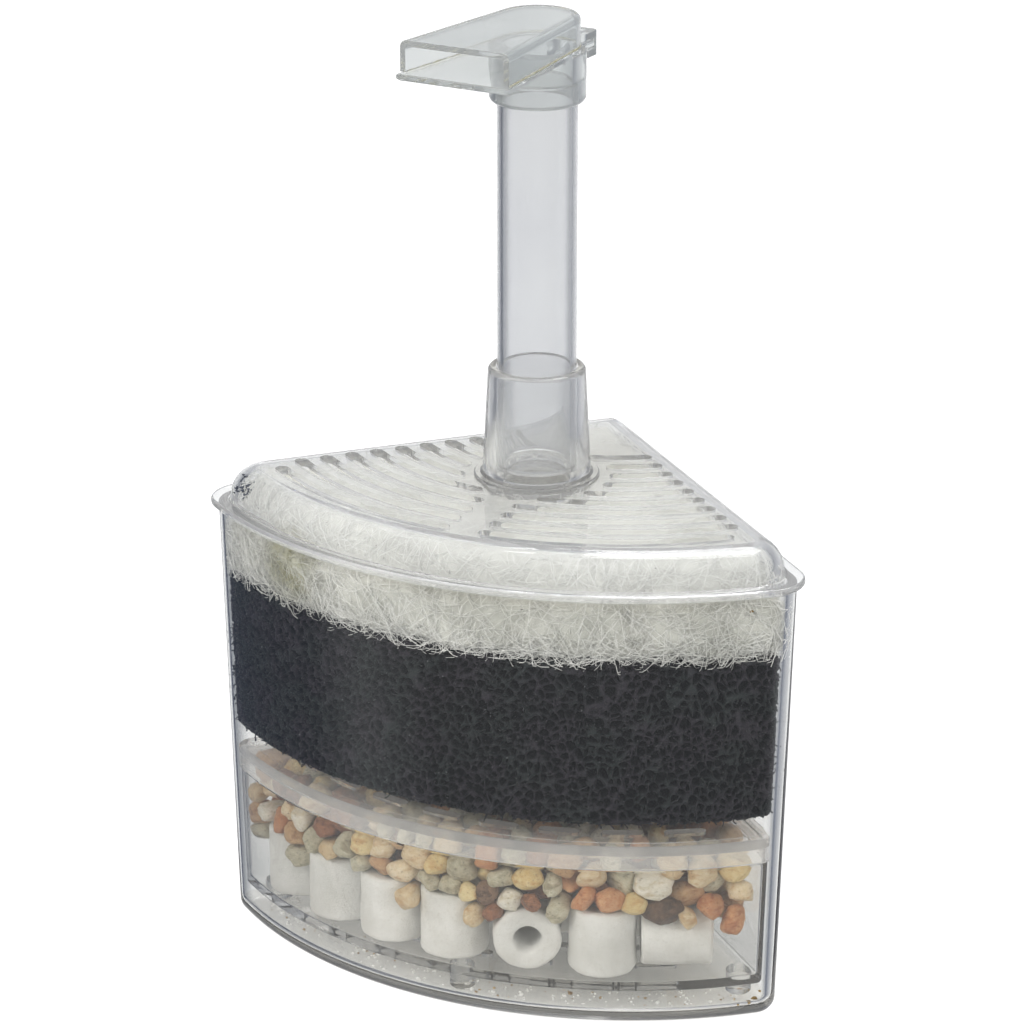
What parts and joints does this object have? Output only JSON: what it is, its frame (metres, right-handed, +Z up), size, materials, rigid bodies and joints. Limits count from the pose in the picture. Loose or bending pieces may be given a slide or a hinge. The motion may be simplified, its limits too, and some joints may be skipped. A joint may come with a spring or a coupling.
{
  "type": "sponge filter",
  "caption": "Air-driven quarter-round corner filter: clear slotted box with floss, foam, gravel and ceramic rings, a lift tube and a flat spout.",
  "frame": {"origin": "on the lift tube's axis, at the plane the box stands on", "axes": "+Z up along the lift tube, +Y towards the box's square back corner, -Y towards its round front"},
  "size_m": [0.1284, 0.0934, 0.1958],
  "materials": {
    "clear_plastic": "clear moulded polystyrene, glossy, faintly green-grey at its edges",
    "tube_plastic": "clear extruded tube, glossy, faintly violet",
    "white_ceramic": "unglazed porous white ceramic, chalky",
    "river_gravel": "washed river pebbles, cream to rust brown, satin",
    "black_foam": "coarse open-cell reticulated foam, black",
    "white_floss": "white polyester fibre wadding"
  },
  "bodies": {
    "tub": {"outer_tub": "clear_plastic"},
    "lid": {"lid": "clear_plastic"},
    "riser": {"riser_tube": "tube_plastic"},
    "spout": {"spout_base": "clear_plastic", "spout_cover": "clear_plastic"},
    "floss": {"floss_pad": "white_floss"},
    "sponge": {"sponge_block": "black_foam"},
    "tray_cover": {"tray_cover": "clear_plastic"},
    "tray": {"tray": "clear_plastic", "down_tube": "tube_plastic", "gravel_bed": "river_gravel", "ceramic_ring_01": "white_ceramic", "ceramic_ring_02": "white_ceramic", "ceramic_ring_03": "white_ceramic", "ceramic_ring_04": "white_ceramic", "ceramic_ring_05": "white_ceramic", "ceramic_ring_06": "white_ceramic", "ceramic_ring_07": "white_ceramic", "ceramic_ring_08": "white_ceramic", "ceramic_ring_09": "white_ceramic", "ceramic_ring_10": "white_ceramic", "ceramic_ring_11": "white_ceramic", "ceramic_ring_12": "white_ceramic", "ceramic_ring_13": "white_ceramic", "ceramic_ring_14": "white_ceramic"}
  },
  "joints": [
    {"name": "lid_lift", "type": "slide", "parent": "tub", "child": "lid", "axis": [0, 0, 1], "range_m": [0, 0.15]},
    {"name": "riser_pull", "type": "slide", "parent": "lid", "child": "riser", "axis": [0, 0, 1], "range_m": [0, 0.03]},
    {"name": "spout_turn", "type": "hinge", "parent": "riser", "child": "spout", "pos_m": [0, 0, 0.181], "axis": [0, 0, 1], "continuous": true},
    {"name": "floss_lift", "type": "slide", "parent": "tub", "child": "floss", "axis": [0, 0, 1], "range_m": [0, 0.132]},
    {"name": "sponge_lift", "type": "slide", "parent": "tub", "child": "sponge", "axis": [0, 0, 1], "range_m": [0, 0.1155]},
    {"name": "cover_lift", "type": "slide", "parent": "tub", "child": "tray_cover", "axis": [0, 0, 1], "range_m": [0, 0.1005]},
    {"name": "tray_lift", "type": "slide", "parent": "tub", "child": "tray", "axis": [0, 0, 1], "range_m": [0, 0.0885]}
  ],
  "couplings": [
    {"joint": "floss_lift", "follows": "lid_lift", "ratio": 0.88},
    {"joint": "sponge_lift", "follows": "lid_lift", "ratio": 0.77},
    {"joint": "cover_lift", "follows": "lid_lift", "ratio": 0.67},
    {"joint": "tray_lift", "follows": "lid_lift", "ratio": 0.59}
  ]
}
